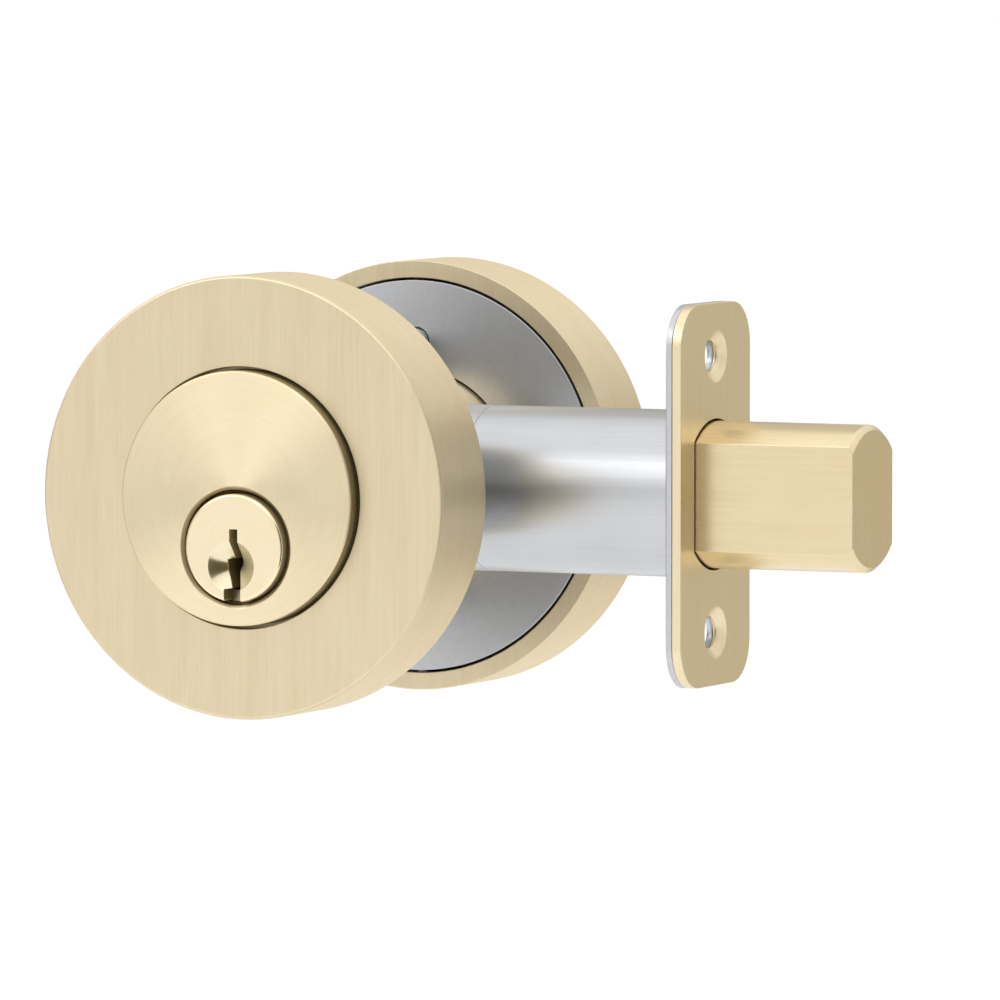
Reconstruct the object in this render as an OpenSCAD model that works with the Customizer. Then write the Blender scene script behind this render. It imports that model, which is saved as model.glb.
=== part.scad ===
// Double-cylinder tubular deadbolt for a hinged door.
// A keyed cylinder in a round rose sits on each face of the door. Both tailpieces turn one
// crank hub in the latch case, and the crank slides the bolt through the edge of the door.
// X runs toward the door's edge, Y from the outside to the inside, Z up. The origin is on
// the axis of the cross bore, half way through the door and level with the bolt.

/* [Door] */
// Thickness of the door between the two roses
door_t = 45; // [44:0.5:48]
// Distance from the door's edge to the axis of the cross bore
backset = 60.3; // [60:0.1:70]

/* [Rose] */
// Outer radius of the round rose
rose_r = 33; // [33:0.1:34]
// Height of the rose above the door's face
rose_h = 15; // [14.8:0.1:15.5]
// Thickness of the rose's front wall
rose_front_t = 3.2; // [3:0.1:3.4]
// Thickness of the rose's side wall
rose_wall_t = 2.6; // [2.4:0.1:2.8]
// Radius of the rounded front edge of the rose
rose_edge_r = 0.5; // [0.3:0.1:0.8]
// Gap all round between the rose's hole and the cylinder head
head_gap = 0.55; // [0.4:0.05:0.6]

/* [Cylinder] */
// Radius of the cylinder head that shows through the rose
head_r = 18.95; // [18.8:0.05:19.1]
// Height of the head's rim above the rose's face
head_proud = 1.9; // [1.7:0.1:2.1]
// Rise of the shallow cone from the head's rim to its middle
head_dome = 0.25; // [0.1:0.05:0.4]
// Radius of the rounded shoulder of the head
head_edge_r = 0.35; // [0.2:0.05:0.6]
// Radius of the barrel that goes into the cross bore
barrel_r = 16; // [15.6:0.1:16]
// Distance of the barrel's inner end from the middle of the door
barrel_end = 12.8; // [12.8:0.1:13]
// Radius of the flange that the rose traps
flange_r = 24.3; // [24.1:0.1:24.4]
// Thickness of the flange
flange_t = 2.6; // [2.4:0.1:2.8]

/* [Plug] */
// Distance of the plug's axis below the centre of the rose
plug_drop = 7.3; // [7.2:0.05:7.35]
// Radius of the turning plug
plug_r = 6.35; // [6.3:0.01:6.37]
// Radius of the plug's face
plug_face_r = 8.05; // [7.95:0.05:8.1]
// Radius of the rounded edge of the plug's face
plug_edge_r = 0.5; // [0.3:0.05:0.6]
// Height of the plug's face above the rose's face
plug_proud = 2.7; // [2.6:0.1:2.9]
// Thickness of the wide front of the plug
plug_face_t = 2.95; // [2.8:0.05:3.1]
// Radial clearance of the plug in its bore
plug_fit = 0.05; // [0.03:0.01:0.08]
// Open gap round the plug's face
mouth_gap = 0.5; // [0.3:0.05:0.55]
// Depth of that gap behind the rim of the head
mouth_depth = 1.4; // [1:0.1:1.8]
// Width of the chamfer round the plug's opening
mouth_chamfer = 0.55; // [0.4:0.05:0.7]
// Radius of the conical dimple in the plug's face
dimple_r = 3.8; // [3.4:0.05:4]
// Depth of the dimple's cone
dimple_depth = 3.2; // [2.6:0.1:3.4]
// Distance of the dimple below the plug's axis
dimple_drop = 2.75; // [2.5:0.05:2.9]
// Distance of the dimple to the left of the plug's axis
dimple_shift = 0.4; // [0:0.1:0.5]

/* [Pins] */
// Number of pin stacks
pin_count = 5; // [3:1:5]
// Distance between pin stacks
pin_pitch = 3.81; // [3.7:0.01:3.85]
// Distance of the first pin stack from the middle of the door
first_pin = 30.3; // [30.2:0.1:30.4]
// Radius of the pins
pin_r = 1.45; // [1.4:0.01:1.47]
// Length of each driver pin
driver_len = 6; // [5:0.1:7]

/* [Latch] */
// Outer radius of the latch tube, to suit a 25.4 mm edge bore
latch_r = 12.5; // [12.5:0.05:12.6]
// Wall thickness of the latch tube
tube_t = 1.1; // [1:0.05:1.1]
// Sheet thickness of the latch case
case_t = 0.8; // [0.7:0.05:0.8]
// Half thickness of the flat rear of the case
case_half = 5.5; // [5.4:0.05:5.6]
// Distance of the case's closed rear end behind the cross-bore axis
case_rear = 20; // [19.5:0.1:21]
// Travel of the bolt
throw = 25.4; // [25:0.1:25.4]
// Radius of the bolt
bolt_r = 11; // [10.8:0.1:11]
// Half thickness of the bolt across its flats
bolt_half = 7.5; // [7.3:0.1:7.6]
// Length of the bolt
bolt_len = 41.7; // [41.5:0.1:41.7]
// Distance from the hub's axis to the crank pin
crank_r = 16.2; // [16.1:0.1:16.3]
// Radius of the crank pin
crank_pin_r = 1.4; // [1.3:0.05:1.45]

/* [Faceplate] */
// Width of the faceplate
face_w = 25.4; // [25.4:0.1:28.6]
// Height of the faceplate
face_h = 57.15; // [57.1:0.05:58]
// Thickness of the brass faceplate
face_t = 1.5; // [1.2:0.1:1.6]
// Thickness of the steel backing plate
back_t = 1; // [0.8:0.1:1.2]
// Corner radius of both plates
corner_r = 6.35; // [5:0.05:8]
// Distance between the two wood screw holes
screw_pitch = 41.3; // [41:0.1:42]
// Radius of the wood screw holes
screw_hole_r = 2.3; // [2.1:0.1:2.4]

/* [Mounting] */
// Thickness of the mounting plates
plate_t = 1.6; // [1.4:0.1:1.8]
// Radius of the mounting plates
plate_r = 30; // [29.8:0.1:30.1]
// Distance of each through bolt above or below the rose's centre
bolt_pitch_r = 20.6; // [20.5:0.1:20.7]
// Radius of the through bolts
thru_r = 1.95; // [1.9:0.05:2]
// Radius of the threaded posts
post_r = 3.2; // [3.1:0.05:3.3]
// Distance of the posts' open ends from the middle of the door
post_end = 10; // [9:0.5:14]
// Depth of the posts' seats in the back of the flange
post_seat = 1.6; // [1.4:0.1:1.8]

/* [Hidden] */

$fn = 96;
eps = 0.05;
slip = 0.1;

// Colours
brass_satin = [0.80, 0.70, 0.50];
brass_bright = [0.86, 0.74, 0.48];
brass_raw = [0.72, 0.58, 0.34];
steel = [0.66, 0.67, 0.68];
steel_dark = [0.45, 0.46, 0.48];

// Heights of the faces on one side, measured outward from the middle of the door
face_d = door_t / 2;
rose_d = face_d + rose_h;
rose_in_d = rose_d - rose_front_t;
rose_in_r = rose_r - rose_wall_t;
head_d = rose_d + head_proud;
flange_d = rose_in_d - flange_t;
plate_d = face_d + plate_t;
post_top_d = flange_d + post_seat;
plug_d = rose_d + plug_proud;
plug_back_d = plug_d - plug_face_t;
mouth_r = plug_face_r + mouth_gap;
mouth_d = head_d - mouth_depth;
mouth_edge_d = head_d + head_dome / 2 - mouth_chamfer;

// Cylinder and plug
bore_r = plug_r + plug_fit;
face_bore_r = plug_face_r + 0.08;
chamber_r = pin_r + 0.05;
cover_y = 12.6;
cover_w = 4.8;
cover_t = 0.8;
spacer_r = 2.6;
spacer_ring_r = 20.6;
rear_d = 8.6;
pocket_r = 4.9;
pocket_d = 11.3;
key_end_d = 12.8;
cap_d = 7.9;
cap_r = 7.8;
cap_hole_r = 2.9;

// Outline of the key slot about the plug's axis, seen from outside
key_slot = [
    [-0.67, 2.8], [0.67, 2.8], [0.67, -2.05], [0.4, -2.55], [-0.08, -3.15], [-0.08, -3.45],
    [0.9, -5.55], [1.15, -6.15], [1.15, -9], [-1.57, -9], [-1.57, -6.1], [-0.4, -5.95],
    [-1.55, -3.85], [-1.8, -3.15], [-1.8, -1.8], [-0.67, -1.6]
];

// Length of each key pin, from the keyway to the shear line
key_pin_lens = [5.2, 6.3, 4.4, 5.9, 4.8];
key_pin_top = 6.1;
driver_bottom = 6.45;
pin_point = 0.7;

// Lost motion between plug and tailpiece, as angles about the plug's axis
lug_angle = 50;
lug_centre = 90;
lug_gap = 1.5;
exterior_dog_angle = 205;
interior_dog_angle = 24;
plug_free_turn = 90;
disc_r = 4.7;
dog_d = 9.5;
blade_w = 4.2;
blade_t = 1.6;
blade_end = 0.4;

// Rose fixing
rose_screw_ring_r = 27.6;
rose_boss_r = 3;
rose_screw_r = 1.45;
grub_d = face_d + 3.2;
lip_h = 5;

// Latch
hub_z = -plug_drop;
swing_half = asin(throw / 2 / crank_r);
swing = 2 * swing_half;
pin_x = crank_r * sin(swing_half);
tube_in_r = latch_r - tube_t;
neck_r = 11.9;
neck_x0 = 24;
neck_x1 = 30;
step_x = 16;
plate_x = backset - face_t;
back_x = plate_x - back_t;
bolt_x1 = backset + throw;
bolt_x0 = bolt_x1 - bolt_len;
web_t = 1.6;
web_r = bolt_r - 0.3;
web_half = bolt_half - 0.3;
fork_y0 = 1.6;
fork_t = 1.8;
fork_z0 = -1;
fork_z1 = 10.5;
fork_end = pin_x - 4.5;
fork_slot_half = crank_pin_r + 0.78;
fork_slot_z = 1.25;
hub_r = 3.15;
hub_half = 5.9;
shoulder_r = 3.65;
shoulder_half = 3.6;
arm_half_t = 1.25;
arm_half_w = 1.8;
arm_end_r = 2.15;
case_rivet_x = [-13, 12.5];
case_rivet_z = -7.2;
case_rivet_r = 1;
tail_rivet_y = 5;
tail_rivet_z = 5;
tail_rivet_r = 1.2;
roller_r = 3;
roller_len = 35;
roller_z = -4;

function arc(cx, cy, r, a0, a1, steps = 6) =
    [for (i = [0 : steps]) let (a = a0 + (a1 - a0) * i / steps) [cx + r * cos(a), cy + r * sin(a)]];

// ---------- Shared shapes ----------

// Puts a shape drawn with X right, Y up and Z outward on the outside of the door
module on_exterior() {
    rotate([90, 0, 0]) children();
}

module on_interior() {
    rotate([90, 0, 180]) children();
}

// Moves a shape from the rose's centre to the plug's axis
module on_plug_axis(d = 0) {
    translate([0, -plug_drop, d]) children();
}

// Lays a shape drawn along Z on the X axis
module along_x(x0) {
    translate([x0, 0, 0]) rotate([0, 90, 0]) children();
}

module along_y(x, y0, z) {
    translate([x, y0, z]) rotate([-90, 0, 0]) children();
}

module disc(r, d0, d1) {
    translate([0, 0, d0]) cylinder(r = r, h = d1 - d0);
}

module sector(r, centre, width, d0, d1) {
    points = [for (i = [0 : 4]) let (a = centre + width * (i / 4 - 0.5)) 2 * r * [cos(a), sin(a)]];
    intersection() {
        disc(r, d0, d1);
        translate([0, 0, d0 - eps])
            linear_extrude(d1 - d0 + 2 * eps) polygon(concat([[0, 0]], points));
    }
}

// Round bar along X with two flats facing Y
module flatted_bar(r, half, x0, x1) {
    intersection() {
        along_x(x0) cylinder(r = r, h = x1 - x0);
        translate([x0 - 1, -half, -r - 1]) cube([x1 - x0 + 2, 2 * half, 2 * r + 2]);
    }
}

module cross_recess(width, depth) {
    for (a = [0, 90])
        rotate([0, 0, a]) translate([-width / 2, -width / 10, -depth]) cube([width, width / 5, depth + eps]);
}

module at_ring(r, angles) {
    for (a = angles) rotate([0, 0, a]) translate([r, 0, 0]) children();
}

rose_screw_angles = [30, 150, 270];
spacer_angles = [45, 135, 225, 315];
thru_angles = [90, 270];

// ---------- Trim on one side ----------

module rose_shell() {
    rotate_extrude()
        polygon(concat(
            [[rose_in_r, face_d], [rose_r, face_d]],
            arc(rose_r - rose_edge_r, rose_d - rose_edge_r, rose_edge_r, 0, 90),
            [[head_r + head_gap, rose_d], [head_r + head_gap, rose_in_d], [rose_in_r, rose_in_d]]));
}

module mounting_disc() {
    difference() {
        disc(plate_r, face_d, plate_d);
        disc(barrel_r + 0.4, face_d - 1, plate_d + 1);
    }
}

module cylinder_body() {
    difference() {
        union() {
            rotate_extrude()
                polygon(concat(
                    [[0, barrel_end], [barrel_r, barrel_end], [barrel_r, flange_d],
                     [flange_r, flange_d], [flange_r, rose_in_d], [head_r, rose_in_d]],
                    arc(head_r - head_edge_r, head_d - head_edge_r, head_edge_r, 0, 90),
                    [[0, head_d + head_dome]]));
            at_ring(spacer_ring_r, spacer_angles) disc(spacer_r, plate_d, flange_d + eps);
        }
        on_plug_axis() {
            disc(bore_r, barrel_end - 1, plug_back_d);
            disc(face_bore_r, plug_back_d - slip, plug_d);
            disc(mouth_r, mouth_d, plug_d);
            translate([0, 0, mouth_edge_d]) cylinder(r1 = mouth_r, r2 = mouth_r + 2, h = 2);
            pin_rows() translate([0, 0, bore_r - 1])
                cylinder(r = chamber_r, h = cover_y + plug_drop - bore_r + 1 + eps);
        }
        translate([-cover_w / 2 - slip, cover_y, cover_d0()])
            cube([cover_w + 2 * slip, barrel_r, cover_d1() - cover_d0()]);
    }
}

function cover_d0() = first_pin - (pin_count - 1) * pin_pitch - chamber_r - 0.1;
function cover_d1() = first_pin + chamber_r + 0.1;

// One child for each pin stack, with its Z axis turned to point up the stack
module pin_rows() {
    for (i = [0 : pin_count - 1]) {
        $pin = i;
        translate([0, 0, first_pin - i * pin_pitch]) rotate([-90, 0, 0]) children();
    }
}

module plug() {
    difference() {
        on_plug_axis() rotate_extrude()
            polygon(concat(
                [[0, rear_d], [plug_r, rear_d], [plug_r, plug_back_d], [plug_face_r, plug_back_d]],
                arc(plug_face_r - plug_edge_r, plug_d - plug_edge_r, plug_edge_r, 0, 90),
                [[0, plug_d]]));
        on_plug_axis() {
            translate([0, 0, key_end_d]) linear_extrude(plug_d) polygon(key_slot);
            translate([-dimple_shift, -dimple_drop, plug_d - dimple_depth])
                cylinder(r1 = 0, r2 = 2 * dimple_r, h = 2 * dimple_depth);
            pin_rows() translate([0, 0, -1.2]) cylinder(r = chamber_r, h = plug_r + 2);
            disc(pocket_r, rear_d - 1, pocket_d);
        }
    }
    on_plug_axis() difference() {
        sector(pocket_r + 0.4, lug_centre, lug_angle, dog_d + 0.2, pocket_d + 0.2);
        disc(plug_r / 4, dog_d, pocket_d);
    }
}

module plug_cap() {
    on_plug_axis() difference() {
        disc(cap_r, cap_d, barrel_end - slip);
        disc(bore_r, rear_d, barrel_end);
        disc(cap_hole_r, cap_d - 1, rear_d + 1);
    }
}

module key_pins() {
    on_plug_axis() pin_rows() {
        len = key_pin_lens[$pin];
        translate([0, 0, key_pin_top - len + pin_point]) cylinder(r = pin_r, h = len - pin_point);
        translate([0, 0, key_pin_top - len]) cylinder(r1 = pin_r / 2, r2 = pin_r, h = pin_point);
    }
}

module driver_pins() {
    on_plug_axis() pin_rows() translate([0, 0, driver_bottom]) cylinder(r = pin_r, h = driver_len);
}

// Square-wire compression springs between the driver pins and the cover
module pin_springs() {
    spring_r = 1.25;
    wire = 0.42;
    turns = 4;
    wire_angle = 100;
    bottom = driver_bottom + driver_len + eps;
    length = cover_y + plug_drop - bottom - eps;
    on_plug_axis() pin_rows() translate([0, 0, bottom])
        linear_extrude(length, twist = -360 * turns, slices = 9 * turns, $fn = 12)
            polygon(concat(
                arc(0, 0, spring_r, 0, wire_angle, 4),
                arc(0, 0, spring_r - wire, wire_angle, 0, 4)));
}

module spring_cover() {
    translate([-cover_w / 2, cover_y, cover_d0() + slip])
        cube([cover_w, cover_t, cover_d1() - cover_d0() - 2 * slip]);
}

// Blade that turns the hub, with a disc and a dog in the pocket of the plug
module tailpiece(dog_centre, dog_angle) {
    on_plug_axis() {
        disc(disc_r, rear_d + slip, dog_d);
        sector(disc_r, dog_centre, dog_angle, dog_d - eps, pocket_d - 0.2);
        translate([-blade_w / 2, -blade_t / 2, blade_end])
            cube([blade_w, blade_t, rear_d + slip + eps - blade_end]);
    }
}

// ---------- Exterior side ----------

module exterior_rose() {
    color(brass_satin) on_exterior() difference() {
        union() {
            rose_shell();
            at_ring(rose_screw_ring_r, rose_screw_angles) disc(rose_boss_r, plate_d, rose_in_d + eps);
        }
        at_ring(rose_screw_ring_r, rose_screw_angles)
            disc(rose_screw_r + eps, plate_d - 1, rose_in_d - 1.5);
    }
}

module exterior_rose_screws() {
    head_h = 1.3;
    color(steel) on_exterior() at_ring(rose_screw_ring_r, rose_screw_angles) difference() {
        union() {
            disc(rose_screw_r, face_d + eps, rose_in_d - 3);
            translate([0, 0, face_d])
                cylinder(r1 = rose_screw_r + head_h, r2 = rose_screw_r, h = head_h);
        }
        translate([0, 0, face_d]) mirror([0, 0, 1]) cross_recess(2.6, 0.9);
    }
}

module exterior_mounting_plate() {
    sink = 1.4;
    color(steel) on_exterior() difference() {
        mounting_disc();
        at_ring(bolt_pitch_r, thru_angles) disc(post_r + 0.15, face_d - 1, plate_d + 1);
        at_ring(rose_screw_ring_r, rose_screw_angles) {
            disc(rose_screw_r + slip, face_d - 1, plate_d + 1);
            translate([0, 0, face_d - eps])
                cylinder(r1 = rose_screw_r + slip + sink, r2 = rose_screw_r + slip, h = sink);
        }
    }
}

module exterior_posts() {
    thread_depth = 20;
    color(steel) on_exterior() at_ring(bolt_pitch_r, thru_angles) difference() {
        disc(post_r, post_end, post_top_d);
        disc(thru_r + eps, post_end - 1, post_end + thread_depth);
    }
}

module exterior_cylinder_body() {
    color(brass_satin) on_exterior() difference() {
        cylinder_body();
        at_ring(bolt_pitch_r, thru_angles) disc(post_r + eps, flange_d - 1, post_top_d);
    }
}

module exterior_plug() {
    color(brass_bright) on_exterior() plug();
}

module exterior_plug_cap() {
    color(brass_raw) on_exterior() plug_cap();
}

module exterior_key_pins() {
    color(brass_bright) on_exterior() key_pins();
}

module exterior_driver_pins() {
    color(steel) on_exterior() driver_pins();
}

module exterior_pin_springs() {
    color(steel) on_exterior() pin_springs();
}

module exterior_spring_cover() {
    color(brass_raw) on_exterior() spring_cover();
}

// The dog touches the lug on the side that draws the bolt back
module exterior_tailpiece() {
    dog_centre = lug_centre + lug_angle / 2 + lug_gap + exterior_dog_angle / 2;
    color(brass_raw) on_exterior() tailpiece(dog_centre, exterior_dog_angle);
}

// ---------- Interior side ----------

module interior_rose() {
    color(brass_satin) on_interior() difference() {
        rose_shell();
        translate([0, 0, grub_d]) rotate([90, 0, 0])
            translate([0, 0, rose_in_r - 2]) cylinder(r = 1.5, h = rose_wall_t + 4);
    }
}

module interior_grub_screw() {
    grub_len = 4.4;
    grub_out = rose_r - 0.2;
    socket_r = 0.87;
    color(steel_dark) on_interior() translate([0, 0, grub_d]) rotate([90, 0, 0]) difference() {
        translate([0, 0, grub_out - grub_len]) cylinder(r = 1.45, h = grub_len);
        translate([0, 0, grub_out - 1.5]) cylinder(r = socket_r, h = 2, $fn = 6);
    }
}

// Shallow pan whose lip takes the grub screw
module interior_mounting_plate() {
    color(steel) on_interior() difference() {
        union() {
            mounting_disc();
            difference() {
                disc(plate_r, face_d + eps, face_d + lip_h);
                disc(plate_r - 1.2, face_d, face_d + lip_h + 1);
            }
        }
        at_ring(bolt_pitch_r, thru_angles) disc(thru_r + 0.25, face_d - 1, plate_d + 1);
        translate([0, 0, grub_d]) rotate([90, 0, 0])
            translate([0, 0, plate_r - 4]) cylinder(r = 1.6, h = 6);
    }
}

module interior_cylinder_body() {
    color(brass_satin) on_interior() cylinder_body();
}

module interior_plug() {
    color(brass_bright) on_interior() plug();
}

module interior_plug_cap() {
    color(brass_raw) on_interior() plug_cap();
}

module interior_key_pins() {
    color(brass_bright) on_interior() key_pins();
}

module interior_driver_pins() {
    color(steel) on_interior() driver_pins();
}

module interior_pin_springs() {
    color(steel) on_interior() pin_springs();
}

module interior_spring_cover() {
    color(brass_raw) on_interior() spring_cover();
}

// A narrow dog leaves this plug free to turn whatever the bolt does
module interior_tailpiece() {
    dog_centre = lug_centre + 180 + swing / 2;
    color(brass_raw) on_interior() tailpiece(dog_centre, interior_dog_angle);
}

// ---------- Through bolts ----------

module through_bolts() {
    head_h = 2.8;
    bolt_reach = 19;
    color(steel) on_interior() at_ring(bolt_pitch_r, thru_angles) difference() {
        union() {
            disc(thru_r, -bolt_reach, plate_d + eps);
            disc(2 * thru_r, plate_d, plate_d + head_h);
        }
        translate([0, 0, plate_d + head_h]) cross_recess(4.4, 1.6);
    }
}

// ---------- Latch ----------

module latch_tube() {
    color(steel) difference() {
        along_x(neck_x0) cylinder(r = latch_r, h = plate_x - neck_x0);
        along_x(neck_x0 - 1) cylinder(r = tube_in_r, h = plate_x - neck_x0 + 2);
        along_x(neck_x0 - 1) cylinder(r = neck_r + eps, h = neck_x1 - neck_x0 + 1 + slip);
    }
}

module plate_outline() {
    x = face_w / 2 - corner_r;
    y = face_h / 2 - corner_r;
    polygon(concat(
        arc(x, y, corner_r, 0, 90, 8), arc(-x, y, corner_r, 90, 180, 8),
        arc(-x, -y, corner_r, 180, 270, 8), arc(x, -y, corner_r, 270, 360, 8)));
}

// Plate across the X axis, with its width along Y and its height along Z
module edge_plate(x0, thickness) {
    translate([x0, 0, 0]) rotate([90, 0, 90]) linear_extrude(thickness) plate_outline();
}

module backing_plate() {
    color(steel) difference() {
        edge_plate(back_x, back_t);
        along_x(back_x - 1) cylinder(r = latch_r + eps, h = back_t + 2);
        for (z = [-1, 1] * screw_pitch / 2)
            translate([0, 0, z]) along_x(back_x - 1) cylinder(r = screw_hole_r, h = back_t + 2);
    }
}

module faceplate() {
    sink_r = 4.1;
    color(brass_satin) difference() {
        edge_plate(plate_x, face_t);
        flatted_bar(bolt_r + 0.3, bolt_half + 0.3, plate_x - 1, backset + 1);
        for (z = [-1, 1] * screw_pitch / 2) translate([0, 0, z]) {
            along_x(plate_x - 1) cylinder(r = screw_hole_r, h = face_t + 2);
            along_x(plate_x + 0.4) cylinder(r1 = screw_hole_r, r2 = sink_r, h = face_t - 0.4 + eps);
        }
    }
}

module case_shell() {
    difference() {
        union() {
            flatted_bar(latch_r, case_half, -case_rear, step_x + eps);
            along_x(step_x) cylinder(r = latch_r, h = neck_x0 - step_x);
            along_x(neck_x0 - eps) cylinder(r = neck_r, h = neck_x1 - neck_x0 + eps);
        }
        flatted_bar(latch_r - case_t - 0.1, case_half - case_t, case_t - case_rear, step_x + 2);
        along_x(step_x + case_t) cylinder(r = tube_in_r, h = neck_x1 - step_x);
        along_y(0, -latch_r, hub_z) cylinder(r = hub_r + eps, h = 2 * latch_r);
        for (x = case_rivet_x)
            along_y(x, -latch_r, case_rivet_z) cylinder(r = case_rivet_r + eps, h = 2 * latch_r);
    }
}

// Half of the case on one side of the middle plane of the door
module case_half_shell(side) {
    span = 2 * latch_r + 2;
    color(steel) intersection() {
        case_shell();
        translate([-case_rear - 1, side < 0 ? -span : 0, -span / 2])
            cube([case_rear + neck_x1 + 2, span, span]);
    }
}

module case_exterior_half() {
    case_half_shell(-1);
}

module case_interior_half() {
    case_half_shell(1);
}

module case_rivets() {
    head_t = 0.6;
    spacer_half = case_half - case_t;
    color(steel_dark) for (x = case_rivet_x) {
        along_y(x, -case_half - eps, case_rivet_z) cylinder(r = case_rivet_r, h = 2 * case_half + 2 * eps);
        along_y(x, -spacer_half, case_rivet_z) cylinder(r = 1.5, h = 2 * spacer_half);
        for (y = [-case_half - head_t, case_half])
            along_y(x, y, case_rivet_z) cylinder(r = 1.9, h = head_t);
    }
}

// Hub with a slot for both tailpieces and one arm; the arm leans to the bolt when it is thrown
module hub_crank() {
    slot_gap = 0.2;
    color(brass_raw) translate([0, 0, hub_z]) difference() {
        union() {
            along_y(0, -hub_half, 0) cylinder(r = hub_r, h = 2 * hub_half);
            along_y(0, -shoulder_half, 0) cylinder(r = shoulder_r, h = 2 * shoulder_half);
            rotate([0, swing_half, 0]) {
                translate([-arm_half_w, -arm_half_t, 0])
                    cube([2 * arm_half_w, 2 * arm_half_t, crank_r]);
                along_y(0, -arm_half_t, crank_r) cylinder(r = arm_end_r, h = 2 * arm_half_t);
            }
        }
        rotate([0, swing_half, 0])
            along_y(0, -arm_half_t - 1, crank_r) cylinder(r = crank_pin_r + eps / 2, h = 2 * arm_half_t + 2);
        translate([-blade_w - slot_gap, -2 * hub_half, -blade_t - slot_gap] / 2)
            cube([blade_w + slot_gap, 2 * hub_half, blade_t + slot_gap]);
    }
}

module crank_pin() {
    pin_half = 3.3;
    color(steel_dark) translate([0, 0, hub_z]) rotate([0, swing_half, 0])
        along_y(0, -pin_half, crank_r) cylinder(r = crank_pin_r, h = 2 * pin_half);
}

// Leaf that rubs the lower edge of the tail, so that the bolt stays where it is put
module friction_spring() {
    leaf_t = 0.35;
    leaf_w = 1.2;
    leaf_y = 1.9;
    coil_r = 2.2;
    top_z = fork_z0 - eps - leaf_t;
    upper = [[12.2, case_rivet_z + 1.9], [9.2, top_z], [8.4, top_z], [6.6, top_z - 1.1]];
    lower = [[12.2, case_rivet_z - 1.9], [8, -10.8]];
    color(steel_dark) translate([0, leaf_y + leaf_w, 0]) rotate([90, 0, 0]) {
        translate([case_rivet_x[1], case_rivet_z, 0]) difference() {
            cylinder(r = coil_r, h = leaf_w);
            translate([0, 0, -1]) cylinder(r = coil_r - 0.6, h = leaf_w + 2);
        }
        linear_extrude(leaf_w) leaf(upper, leaf_t);
        linear_extrude(leaf_w) leaf(lower, leaf_t);
    }
}

// Thin strip that follows a list of points, with its thickness above the points
module leaf(points, thickness) {
    polygon(concat(
        points,
        [for (i = [len(points) - 1 : -1 : 0]) points[i] + [0, thickness]]));
}

module bolt() {
    edge = 0.8;
    color(brass_satin) difference() {
        intersection() {
            along_x(bolt_x0) rotate_extrude()
                polygon([[0, 0], [bolt_r, 0], [bolt_r, bolt_len - edge], [bolt_r - edge, bolt_len], [0, bolt_len]]);
            translate([bolt_x0 - 1, -bolt_half, -bolt_r - 1])
                cube([bolt_len + 2, 2 * bolt_half, 2 * bolt_r + 2]);
        }
        translate([0, 0, roller_z]) along_x(bolt_x0 - 1) cylinder(r = roller_r + 0.06, h = roller_len + 2);
        tail_rivet_places() along_x(bolt_x0 - 1) cylinder(r = tail_rivet_r + eps / 2, h = 9);
    }
}

module tail_rivet_places() {
    for (y = [-tail_rivet_y, tail_rivet_y]) translate([0, y, tail_rivet_z]) children();
}

// Web behind the bolt and two fork plates, slotted for the crank pin
module bolt_tail() {
    web_x = bolt_x0 - web_t;
    color(steel) difference() {
        union() {
            flatted_bar(web_r, web_half, web_x, bolt_x0);
            for (y = [-fork_y0 - fork_t, fork_y0])
                translate([fork_end, y, fork_z0])
                    cube([web_x - fork_end + eps, fork_t, fork_z1 - fork_z0]);
        }
        translate([pin_x - fork_slot_half, -bolt_half, fork_slot_z])
            cube([2 * fork_slot_half, 2 * bolt_half, bolt_r]);
        tail_rivet_places() {
            along_x(web_x - 1) cylinder(r = tail_rivet_r + eps / 2, h = web_t + 2);
            along_x(web_x - eps) cylinder(r1 = tail_rivet_r + 1 + eps, r2 = tail_rivet_r, h = 1 + eps);
        }
    }
}

module tail_rivets() {
    web_x = bolt_x0 - web_t;
    color(steel_dark) tail_rivet_places() {
        along_x(web_x + eps) cylinder(r = tail_rivet_r, h = web_t + 7.5);
        along_x(web_x + eps) cylinder(r1 = tail_rivet_r + 0.9, r2 = tail_rivet_r, h = 0.9);
    }
}

module anti_saw_roller() {
    color(steel_dark) translate([0, 0, roller_z]) along_x(bolt_x0 + 0.5) cylinder(r = roller_r, h = roller_len);
}

exterior_rose();
exterior_rose_screws();
exterior_mounting_plate();
exterior_posts();
exterior_cylinder_body();
exterior_plug();
exterior_plug_cap();
exterior_key_pins();
exterior_driver_pins();
exterior_pin_springs();
exterior_spring_cover();
exterior_tailpiece();
interior_rose();
interior_grub_screw();
interior_mounting_plate();
interior_cylinder_body();
interior_plug();
interior_plug_cap();
interior_key_pins();
interior_driver_pins();
interior_pin_springs();
interior_spring_cover();
interior_tailpiece();
through_bolts();
latch_tube();
backing_plate();
faceplate();
case_exterior_half();
case_interior_half();
case_rivets();
hub_crank();
crank_pin();
friction_spring();
bolt();
bolt_tail();
tail_rivets();
anti_saw_roller();
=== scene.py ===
"""Looks for the double-cylinder deadbolt: brushed and polished brass trim, plain steel inside the door."""

import math

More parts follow.
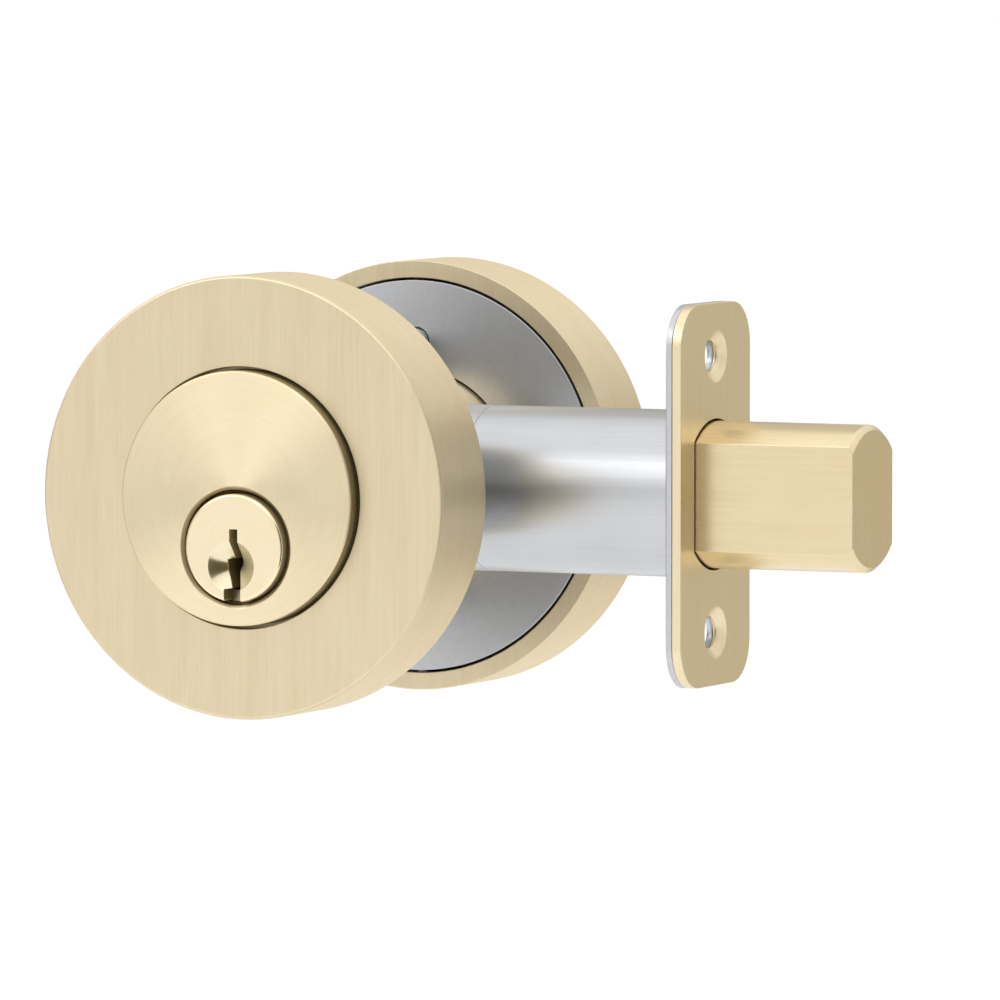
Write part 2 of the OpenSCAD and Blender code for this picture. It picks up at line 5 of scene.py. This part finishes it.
import bmesh
import bpy
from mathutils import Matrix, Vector


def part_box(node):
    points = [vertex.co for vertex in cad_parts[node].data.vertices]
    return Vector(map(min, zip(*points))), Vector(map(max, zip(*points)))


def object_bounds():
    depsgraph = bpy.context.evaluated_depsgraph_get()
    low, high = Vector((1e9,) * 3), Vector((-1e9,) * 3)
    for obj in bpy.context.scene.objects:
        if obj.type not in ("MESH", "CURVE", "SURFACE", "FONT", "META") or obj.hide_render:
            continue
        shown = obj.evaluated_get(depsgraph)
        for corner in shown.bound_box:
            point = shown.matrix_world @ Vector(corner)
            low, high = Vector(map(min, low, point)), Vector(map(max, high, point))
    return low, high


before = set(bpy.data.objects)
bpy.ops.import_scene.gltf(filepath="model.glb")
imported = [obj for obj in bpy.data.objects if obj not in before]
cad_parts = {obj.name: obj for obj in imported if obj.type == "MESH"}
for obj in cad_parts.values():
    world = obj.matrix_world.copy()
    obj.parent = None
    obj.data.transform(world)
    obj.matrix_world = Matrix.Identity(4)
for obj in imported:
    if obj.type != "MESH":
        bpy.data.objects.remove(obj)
cad_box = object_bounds()

MM = 0.001

# Places on the lock, read from the CAD nodes
ROSE_FACE = -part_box("exterior_rose")[0][1]
PLUG_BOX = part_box("exterior_plug")
PLUG_AXIS_Z = (PLUG_BOX[0][2] + PLUG_BOX[1][2]) / 2
PLUG_RADIUS = (PLUG_BOX[1][0] - PLUG_BOX[0][0]) / 2

# Sizes that the boxes don't tell: how far the patches of the materials reach, most of them painted light
# and shade
DIMPLE_AXIS_Z = PLUG_AXIS_Z - 2.75 * MM
DIMPLE_REACH = 4.5 * MM
SLOT_DARK_TOP_Z = DIMPLE_AXIS_Z + 0.9 * MM
SLOT_REACH = PLUG_RADIUS - 0.25 * MM
GROOVE_REACH = PLUG_RADIUS + 0.55 * MM
CHAMFER_REACH = PLUG_RADIUS + 1.08 * MM
HEAD_SIDE_FROM = ROSE_FACE - 4 * MM

# Through bolts: the screw thread on their shanks
BOLT_HEAD_RADIUS = 3.9 * MM
BOLT_CENTRES_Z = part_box("through_bolts")[1][2] - BOLT_HEAD_RADIUS
THREAD_REACH = 2.1 * MM
THREAD_PITCH = 0.7 * MM
THREAD_DEPTH = 0.5 * MM

# How much of a face's normal lies along an axis: square to it, sloping, or a wall beside it
SQUARE = 0.8
SLOPE_MOST = 0.9
WALL_MOST = 0.35


# ---------- Node helpers ----------

class Graph:
    """Short helpers that add nodes to one node tree."""

    def __init__(self, tree):
        self.tree = tree

    def add(self, kind):
        return self.tree.nodes.new(kind)

    def feed(self, socket, value):
        """Sets a socket to a constant, or links it to another node's output."""
        if isinstance(value, bpy.types.NodeSocket):
            self.tree.links.new(value, socket)
        elif socket.type == "RGBA":
            socket.default_value = (*value, 1.0)
        else:
            socket.default_value = value

    def math(self, operation, first, second=0.0):
        node = self.add("ShaderNodeMath")
        node.operation = operation
        self.feed(node.inputs[0], first)
        self.feed(node.inputs[1], second)
        return node.outputs[0]

    def above(self, value, limit):
        return self.math("GREATER_THAN", value, limit)

    def below(self, value, limit):
        return self.math("LESS_THAN", value, limit)

    def both(self, first, second):
        return self.math("MULTIPLY", first, second)

    def length(self, first, second):
        return self.math("SQRT", self.math("ADD", self.math("MULTIPLY", first, first),
                                           self.math("MULTIPLY", second, second)))

    def mix(self, kind, factor, first, second):
        node = self.add("ShaderNodeMix")
        node.data_type = kind
        start, result = {"FLOAT": (2, 0), "VECTOR": (4, 1), "RGBA": (6, 2)}[kind]
        self.feed(node.inputs[0], factor)
        self.feed(node.inputs[start], first)
        self.feed(node.inputs[start + 1], second)
        return node.outputs[result]

    def remap(self, value, low, high, out_low, out_high):
        node = self.add("ShaderNodeMapRange")
        self.feed(node.inputs["From Min"], low)
        self.feed(node.inputs["From Max"], high)
        self.feed(node.inputs["To Min"], out_low)
        self.feed(node.inputs["To Max"], out_high)
        self.feed(node.inputs["Value"], value)
        return node.outputs["Result"]

    def noise(self, vector, detail, roughness):
        node = self.add("ShaderNodeTexNoise")
        self.feed(node.inputs["Scale"], 1.0)
        self.feed(node.inputs["Detail"], detail)
        self.feed(node.inputs["Roughness"], roughness)
        self.feed(node.inputs["Vector"], vector)
        return node.outputs["Fac"]

    def split(self, vector):
        node = self.add("ShaderNodeSeparateXYZ")
        self.feed(node.inputs[0], vector)
        return node.outputs

    def combine(self, x, y, z):
        node = self.add("ShaderNodeCombineXYZ")
        for socket, value in zip(node.inputs, (x, y, z)):
            self.feed(socket, value)
        return node.outputs[0]


class Metal(Graph):
    """A new metal material with its object coordinates and normal at hand."""

    MARK_DEPTH = 0.02 * MM
    MARK_SHARE = 0.65
    BROAD_SHARE = 0.35
    LATHE_WANDER = 2.0
    TINY = 1e-6

    def __init__(self, name):
        self.material = bpy.data.materials.new(name)
        self.material.use_nodes = True
        super().__init__(self.material.node_tree)
        self.shader = self.tree.nodes["Principled BSDF"]
        coords = self.add("ShaderNodeTexCoord")
        self.place = coords.outputs["Object"]
        self.x, self.y, self.z = self.split(self.place)
        normal = self.split(coords.outputs["Normal"])
        self.normal_x = self.math("ABSOLUTE", normal[0])
        self.normal_y = self.math("ABSOLUTE", normal[1])

    def from_axis(self, axis_z):
        """Distance from the line along Y at the height axis_z."""
        return self.length(self.x, self.math("SUBTRACT", self.z, axis_z))

    def right_side(self):
        """1 on the right half of either trim, as seen from its own side of the door."""
        return self.below(self.math("MULTIPLY", self.x, self.y), 0.0)

    def straight(self, scale, detail=4.0, roughness=0.7):
        """Straight marks; scale is how fast they change along each axis, per metre."""
        node = self.add("ShaderNodeMapping")
        self.feed(node.inputs["Scale"], scale)
        self.feed(node.inputs["Vector"], self.place)
        return self.noise(node.outputs["Vector"], detail, roughness)

    def cloudy(self, scale, detail=2.0):
        """Broad variation, the same along all three axes."""
        return self.straight((scale, scale, scale), detail, 0.6)

    def turned(self, scale, axis_z=0.0):
        """Lathe marks round the line along Y at the height axis_z; scale is their change per metre."""
        radius = self.from_axis(axis_z)
        across = self.math("MULTIPLY", self.math("ADD", radius, self.y), scale)
        safe = self.math("ADD", radius, self.TINY)
        up = self.math("SUBTRACT", self.z, axis_z)
        side_x = self.math("MULTIPLY", self.math("DIVIDE", self.x, safe), self.LATHE_WANDER)
        side_z = self.math("MULTIPLY", self.math("DIVIDE", up, safe), self.LATHE_WANDER)
        return self.noise(self.combine(across, side_x, side_z), 4.0, 0.7)

    def finish(self, marks, broad, shades, rough, swing, bump, patches=()):
        """Colour, roughness and relief from fine marks and broad variation, then patches laid over them.

        shades is a light and a dark colour, swing is how far the marks change the roughness, and each
        patch is (where, colour, roughness, metallic).
        """
        light, dark = shades
        tone = self.math("ADD", self.math("MULTIPLY", marks, self.MARK_SHARE),
                         self.math("MULTIPLY", broad, self.BROAD_SHARE))
        color = self.mix("RGBA", self.remap(tone, 0.35, 0.65, 0.0, 1.0), dark, light)
        roughness = self.math("ADD", self.remap(tone, 0.3, 0.7, swing, -swing), rough)
        metallic = 1.0
        for where, patch_color, patch_roughness, patch_metallic in patches:
            color = self.mix("RGBA", where, color, patch_color)
            roughness = self.mix("FLOAT", where, roughness, patch_roughness)
            metallic = self.mix("FLOAT", where, metallic, patch_metallic)
        self.feed(self.shader.inputs["Base Color"], color)
        self.feed(self.shader.inputs["Roughness"], roughness)
        self.feed(self.shader.inputs["Metallic"], metallic)
        self.relief(marks, bump, self.MARK_DEPTH)

    def relief(self, height, strength, depth):
        node = self.add("ShaderNodeBump")
        self.feed(node.inputs["Strength"], strength)
        self.feed(node.inputs["Distance"], depth)
        self.feed(node.inputs["Height"], height)
        self.feed(self.shader.inputs["Normal"], node.outputs["Normal"])

    def ring_tangent(self, axis):
        node = self.add("ShaderNodeTangent")
        node.direction_type = "RADIAL"
        node.axis = axis
        return node.outputs[0]

    def brush(self, anisotropy, tangent):
        """Draws the highlights out into streaks, set a quarter turn from the tangent."""
        self.shader.inputs["Anisotropic"].default_value = anisotropy
        self.shader.inputs["Anisotropic Rotation"].default_value = 0.25
        self.feed(self.shader.inputs["Tangent"], tangent)


# ---------- Materials ----------

# Metals, each with a light and a dark colour
SATIN_BRASS = ((0.835, 0.718, 0.491), (0.785, 0.663, 0.439))
WALL_BRASS = ((0.760, 0.653, 0.446), (0.712, 0.601, 0.398))
HEAD_BRASS = ((0.835, 0.72, 0.495), (0.795, 0.675, 0.452))
PLUG_BRASS = ((0.93, 0.80, 0.56), (0.90, 0.765, 0.52))
BOLT_BRASS = ((0.80, 0.675, 0.44), (0.75, 0.62, 0.39))
RAW_BRASS = ((0.71, 0.56, 0.32), (0.65, 0.50, 0.27))
ZINC = ((0.58, 0.59, 0.605), (0.53, 0.54, 0.56))
HARD_STEEL = ((0.40, 0.41, 0.43), (0.35, 0.36, 0.38))
SPRING_STEEL = ((0.52, 0.52, 0.53), (0.46, 0.46, 0.48))

# Patches on the head and the plug; all but the bright dimple colour are painted light, shade or reflection
HEAD_SIDE_PAINTED_SHADE = (0.36, 0.29, 0.16)
CHAMFER_LEFT_PAINTED_LIGHT = (0.54, 0.44, 0.27)
CHAMFER_RIGHT_PAINTED_SHADE = (0.33, 0.25, 0.12)
GROOVE_PAINTED_SHADE = (0.12, 0.082, 0.030)
SLOT_WALL_PAINTED_LIGHT_AND_SHADE = (0.36, 0.285, 0.13)
SLOT_WALL_LOW_PAINTED_SHADE = (0.17, 0.12, 0.035)
DIMPLE_BRIGHT = (0.86, 0.76, 0.54)
DIMPLE_RIGHT_PAINTED_REFLECTION = (0.60, 0.53, 0.35)

# How fast the fine marks change, per metre, on the satin brass and on the polished plug
SATIN_MARKS = 2600
POLISH_MARKS = 3500


def rose_brass():
    """Straight vertical brushing on the flat face, turned marks on the round side."""
    metal = Metal("rose_brass")
    facing = metal.above(metal.normal_y, SQUARE)
    brushed = metal.straight((SATIN_MARKS, SATIN_MARKS, 90))
    marks = metal.mix("FLOAT", facing, metal.turned(SATIN_MARKS), brushed)
    broad = metal.straight((420, 420, 26), 2.0, 0.6)
    shades = [metal.mix("RGBA", facing, wall, face) for wall, face in zip(WALL_BRASS, SATIN_BRASS)]
    metal.finish(marks, broad, shades, metal.mix("FLOAT", facing, 0.48, 0.42), 0.05, 0.12)
    metal.brush(0.75, metal.mix("VECTOR", facing, metal.ring_tangent("Y"), metal.ring_tangent("X")))
    return metal.material


def head_brass():
    """Lathe brushing, with a dark groove round the plug and a darker side, both painted shade, and the
    mouth's chamfer painted lighter on the left and darker on the right as painted light and shade.
    """
    metal = Metal("head_brass")
    depth = metal.math("ABSOLUTE", metal.y)
    proud = metal.above(depth, ROSE_FACE)
    radius = metal.from_axis(PLUG_AXIS_Z)
    # Painted shade: the groove round the plug is coloured a near-black brown where it lies in shade
    groove = metal.both(proud, metal.below(radius, GROOVE_REACH))
    sideways = metal.math("DIVIDE", metal.math("ABSOLUTE", metal.x), metal.math("ADD", radius, metal.TINY))
    # Painted light and shade on the mouth's chamfer: a lighter colour on the left half, a darker one on
    # the right
    chamfer = metal.both(metal.both(proud, metal.below(radius, CHAMFER_REACH)),
                         metal.remap(sideways, 0.35, 0.8, 0.0, 1.0))
    chamfer_painted_light_and_shade = metal.mix("RGBA", metal.right_side(), CHAMFER_LEFT_PAINTED_LIGHT, CHAMFER_RIGHT_PAINTED_SHADE)
    # Painted shade: the head's side wall down in the gap behind the rose face is coloured dark brown
    side = metal.both(metal.above(depth, HEAD_SIDE_FROM), metal.below(metal.normal_y, WALL_MOST))
    metal.finish(metal.turned(SATIN_MARKS), metal.cloudy(150), HEAD_BRASS, 0.40, 0.05, 0.08,
                 ((side, HEAD_SIDE_PAINTED_SHADE, 0.45, 1.0),
                  (chamfer, chamfer_painted_light_and_shade, 0.5, 1.0),
                  (groove, GROOVE_PAINTED_SHADE, 0.5, 1.0)))
    metal.brush(0.8, metal.ring_tangent("Y"))
    return metal.material


def plug_brass():
    """Polished face and drilled dimple; the walls in the key slot and down the rim are rougher, with a
    brown of painted light and shade that is darker low in the slot, and the dimple's right half is darker
    as a painted reflection.
    """
    metal = Metal("plug_brass")
    # Painted light and shade: the plug's walls, in the key slot and down the rim, get a fixed brown for
    # the slot's bounce light and shade, and a darker brown low in the slot for painted shade
    walls = metal.below(metal.normal_y, WALL_MOST)
    in_slot = metal.below(metal.from_axis(PLUG_AXIS_Z), SLOT_REACH)
    low_walls = metal.both(metal.both(walls, in_slot), metal.below(metal.z, SLOT_DARK_TOP_Z))
    sloping = metal.both(metal.above(metal.normal_y, WALL_MOST), metal.below(metal.normal_y, SLOPE_MOST))
    # Painted reflection: the dimple's right half gets a darker, rougher brass colour patch
    dimple = metal.both(sloping, metal.below(metal.from_axis(DIMPLE_AXIS_Z), DIMPLE_REACH))
    metal.finish(metal.turned(POLISH_MARKS, PLUG_AXIS_Z), metal.cloudy(150), PLUG_BRASS, 0.20, 0.03, 0.04,
                 ((walls, SLOT_WALL_PAINTED_LIGHT_AND_SHADE, 0.6, 0.25),
                  (low_walls, SLOT_WALL_LOW_PAINTED_SHADE, 0.6, 0.25),
                  (dimple, DIMPLE_BRIGHT, 0.22, 1.0),
                  (metal.both(dimple, metal.right_side()), DIMPLE_RIGHT_PAINTED_REFLECTION, 0.55, 1.0)))
    metal.brush(0.3, metal.ring_tangent("Y"))
    return metal.material


def grained_metal(name, shades, rough, swing, scale, end_scale=None, bump=0.1):
    """Metal with straight marks; end_scale is for the faces across the X axis."""
    metal = Metal(name)
    marks = metal.straight(scale, 4.0, 0.65)
    if end_scale is not None:
        end_face = metal.above(metal.normal_x, SQUARE)
        marks = metal.mix("FLOAT", end_face, marks, metal.straight(end_scale, 4.0, 0.65))
    metal.finish(marks, metal.cloudy(120, 3.0), shades, rough, swing, bump)
    return metal.material


def threaded_steel():
    """Zinc-plated through bolts with a screw thread along the shanks."""
    metal = Metal("threaded_steel")
    up = metal.math("SUBTRACT", metal.math("ABSOLUTE", metal.z), BOLT_CENTRES_Z)
    turn = metal.math("DIVIDE", metal.math("ARCTAN2", up, metal.x), 2 * math.pi)
    along = metal.math("DIVIDE", metal.y, THREAD_PITCH)
    ridge = metal.math("PINGPONG", metal.math("ADD", along, turn), 0.5)
    near_centre = metal.below(metal.length(metal.x, up), THREAD_REACH)
    shank = metal.both(near_centre, metal.below(metal.normal_y, 0.5))
    metal.finish(metal.straight((900, 900, 900)), metal.cloudy(120, 3.0), ZINC, 0.34, 0.05, 0.1)
    metal.relief(metal.both(ridge, shank), 1.0, THREAD_DEPTH)
    return metal.material


# Grained metals: colours, roughness and its swing, then the marks' change along X, Y and Z per metre
MATERIALS = {
    "rose": rose_brass(),
    "head": head_brass(),
    "plug": plug_brass(),
    "bolt": grained_metal("bolt_brass", BOLT_BRASS, 0.30, 0.05, (60, 1500, 1500), (1500, 1500, 60), 0.04),
    "faceplate": grained_metal("faceplate_brass", SATIN_BRASS, 0.34, 0.06, (2200, 2200, 70)),
    "raw": grained_metal("raw_brass", RAW_BRASS, 0.34, 0.06, (900, 900, 900)),
    "zinc": grained_metal("zinc_steel", ZINC, 0.36, 0.05, (1100, 1100, 1100)),
    "tube": grained_metal("tube_steel", ZINC, 0.32, 0.04, (30, 2600, 2600), (2600, 2600, 2600)),
    "hard": grained_metal("hard_steel", HARD_STEEL, 0.30, 0.05, (1400, 1400, 1400)),
    "spring": grained_metal("spring_steel", SPRING_STEEL, 0.28, 0.05, (1200, 1200, 1200)),
    "thread": threaded_steel(),
}
# Material of each node; pieces of the outside and the inside share one entry
NODE_LOOKS = {
    "rose": "rose", "rose_screws": "zinc", "mounting_plate": "zinc", "posts": "zinc",
    "cylinder_body": "head", "plug": "plug", "plug_cap": "raw", "key_pins": "raw",
    "driver_pins": "zinc", "pin_springs": "spring", "spring_cover": "raw", "tailpiece": "raw",
    "grub_screw": "hard", "through_bolts": "thread", "latch_tube": "tube", "backing_plate": "zinc",
    "faceplate": "faceplate", "case_half": "zinc", "case_rivets": "hard", "hub_crank": "raw",
    "crank_pin": "hard", "friction_spring": "spring", "bolt": "bolt", "bolt_tail": "zinc",
    "tail_rivets": "hard", "anti_saw_roller": "hard",
}
# Rounding of the machined edges, finer where a running gap leaves little room
EDGE_ROUND = 0.12 * MM
FINE_EDGES = {"plug": 0.02 * MM, "bolt_tail": 0.04 * MM, "case_half": 0.03 * MM, "tail_rivets": 0.04 * MM}


def dress(obj, material):
    obj.data.materials.clear()
    obj.data.materials.append(material)


def soften(obj, width):
    """Rounds the machined edges a little, as modifiers over the untouched mesh."""
    weld = obj.modifiers.new("weld", "WELD")
    weld.merge_threshold = 0.002 * MM
    flatten = obj.modifiers.new("flatten", "DECIMATE")
    flatten.decimate_type = "DISSOLVE"
    flatten.angle_limit = math.radians(0.08)
    bevel = obj.modifiers.new("edges", "BEVEL")
    bevel.width = width
    bevel.segments = 2
    bevel.limit_method = "ANGLE"
    bevel.angle_limit = math.radians(32)
    bevel.use_clamp_overlap = False
    normals = obj.modifiers.new("normals", "WEIGHTED_NORMAL")
    normals.weight = 75


def dress_nodes():
    for name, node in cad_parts.items():
        key = name.replace("exterior_", "").replace("interior_", "")
        dress(node, MATERIALS[NODE_LOOKS[key]])
        # The pin springs are round wire without edges
        if key != "pin_springs":
            soften(node, FINE_EDGES.get(key, EDGE_ROUND))


# ---------- Floor, light and camera ----------

# Lengths in metres; the strengths are what a mirror would show, with white at 1
SURROUND = 0.88
OVERHEAD_GAIN = 0.45
FLOOR_DROP = 0.30
FLOOR_RADIUS = 40.0
CARD_DISTANCE = 0.62
CARD_STEPS = 16
LIGHT_DISTANCE = 2.0
LIGHT_SIZE = 0.9
LIGHT_RADIANCE = 1.6
AZIMUTH = math.radians(25.1)
ELEVATION = math.radians(3.7)
CAMERA_DISTANCE = 1.5
VIEW_WIDTH = 148.2 * MM
# The outside rose stands left of the middle of the view, and the latch fills the right half
ROSE_OFFSET = 38.35 * MM
VIEW_DROP = 0.3 * MM


def plain_floor():
    """Pale floor, clear from below so that the underside of the lock can be seen too."""
    bm = bmesh.new()
    bmesh.ops.create_circle(bm, cap_ends=True, radius=FLOOR_RADIUS, segments=96)
    mesh = bpy.data.meshes.new("floor")
    bm.to_mesh(mesh)
    bm.free()
    floor = bpy.data.objects.new("floor", mesh)
    floor.location = (0, 0, cad_box[0][2] - FLOOR_DROP)
    bpy.context.scene.collection.objects.link(floor)
    material = bpy.data.materials.new("pale_floor")
    material.use_nodes = True
    graph = Graph(material.node_tree)
    shader = material.node_tree.nodes["Principled BSDF"]
    shader.inputs["Base Color"].default_value = (0.93, 0.93, 0.93, 1.0)
    shader.inputs["Roughness"].default_value = 0.9
    shader.inputs["Specular IOR Level"].default_value = 0.0
    from_below = graph.add("ShaderNodeNewGeometry").outputs["Backfacing"]
    graph.feed(shader.inputs["Alpha"], graph.math("SUBTRACT", 1.0, from_below))
    dress(floor, material)


def studio_world():
    """Even pale surround, brighter overhead."""
    world = bpy.data.worlds.new("studio")
    bpy.context.scene.world = world
    world.use_nodes = True
    graph = Graph(world.node_tree)
    direction = graph.split(graph.add("ShaderNodeTexCoord").outputs["Generated"])
    height = graph.math("MAXIMUM", direction[2], 0.0)
    overhead = graph.math("MULTIPLY", graph.math("POWER", height, 2.0), OVERHEAD_GAIN)
    strength = graph.math("ADD", overhead, SURROUND)
    background = world.node_tree.nodes["Background"]
    graph.feed(background.inputs["Color"], (1.0, 1.0, 1.0))
    camera_ray = graph.add("ShaderNodeLightPath").outputs["Is Camera Ray"]
    graph.feed(background.inputs["Strength"], graph.mix("FLOAT", camera_ray, strength, 1.0))


def softbox(name, direction):
    """Square light that faces the lock and that the camera doesn't see."""
    light = bpy.data.lights.new(name, "AREA")
    light.shape = "SQUARE"
    light.size = LIGHT_SIZE
    light.energy = LIGHT_RADIANCE * math.pi * LIGHT_SIZE * LIGHT_SIZE
    obj = bpy.data.objects.new(name, light)
    obj.location = Vector(direction).normalized() * LIGHT_DISTANCE
    obj.rotation_euler = (-obj.location).to_track_quat("-Z", "Y").to_euler()
    obj.visible_camera = False
    bpy.context.scene.collection.objects.link(obj)


def flag(name, bearing, spread, low, high, shade):
    """Card round part of the lock that only its reflections see. Bearings run from +X towards +Y."""
    bm = bmesh.new()
    columns = []
    for i in range(CARD_STEPS + 1):
        turn = math.radians(bearing + spread * (i / CARD_STEPS - 0.5))
        x, y = CARD_DISTANCE * math.cos(turn), CARD_DISTANCE * math.sin(turn)
        columns.append([bm.verts.new((x, y, z)) for z in (low, high)])
    for left, right in zip(columns, columns[1:]):
        bm.faces.new((left[0], right[0], right[1], left[1]))
    mesh = bpy.data.meshes.new(name)
    bm.to_mesh(mesh)
    bm.free()
    card = bpy.data.objects.new(name, mesh)
    bpy.context.scene.collection.objects.link(card)
    material = bpy.data.materials.new(name)
    material.use_nodes = True
    material.node_tree.nodes.clear()
    graph = Graph(material.node_tree)
    glow = graph.add("ShaderNodeEmission")
    graph.feed(glow.inputs["Color"], shade)
    graph.feed(graph.add("ShaderNodeOutputMaterial").inputs["Surface"], glow.outputs[0])
    dress(card, material)
    card.visible_camera = False
    card.visible_shadow = False
    card.visible_diffuse = False


def camera():
    level = math.cos(ELEVATION)
    back = Vector((math.sin(AZIMUTH) * level, -math.cos(AZIMUTH) * level, math.sin(ELEVATION)))
    right = Vector((math.cos(AZIMUTH), math.sin(AZIMUTH), 0))
    target = Vector((0, -ROSE_FACE, -VIEW_DROP)) + right * ROSE_OFFSET
    data = bpy.data.cameras.new("camera")
    data.lens = data.sensor_width * CAMERA_DISTANCE / VIEW_WIDTH
    data.clip_start = 0.01
    data.clip_end = 200
    obj = bpy.data.objects.new("camera", data)
    obj.location = target + back * CAMERA_DISTANCE
    obj.rotation_euler = (-back).to_track_quat("-Z", "Y").to_euler()
    bpy.context.scene.collection.objects.link(obj)
    bpy.context.scene.camera = obj


dress_nodes()
plain_floor()
studio_world()
softbox("upper_left", (-0.62, -0.58, 0.52))
softbox("upper_right", (-0.10, -0.85, 0.52))
flag("right_flag", -36, 44, -0.31, 0.35, (0.09, 0.077, 0.038))
flag("rear_flag", 68, 56, -0.33, 0.19, (0.60, 0.56, 0.47))
flag("rear_upper_flag", 130, 76, 0.18, 0.75, (0.66, 0.64, 0.58))
flag("left_flag", 157, 100, -0.25, 0.25, (0.43, 0.41, 0.37))
camera()
bpy.context.scene.view_settings.view_transform = "Standard"
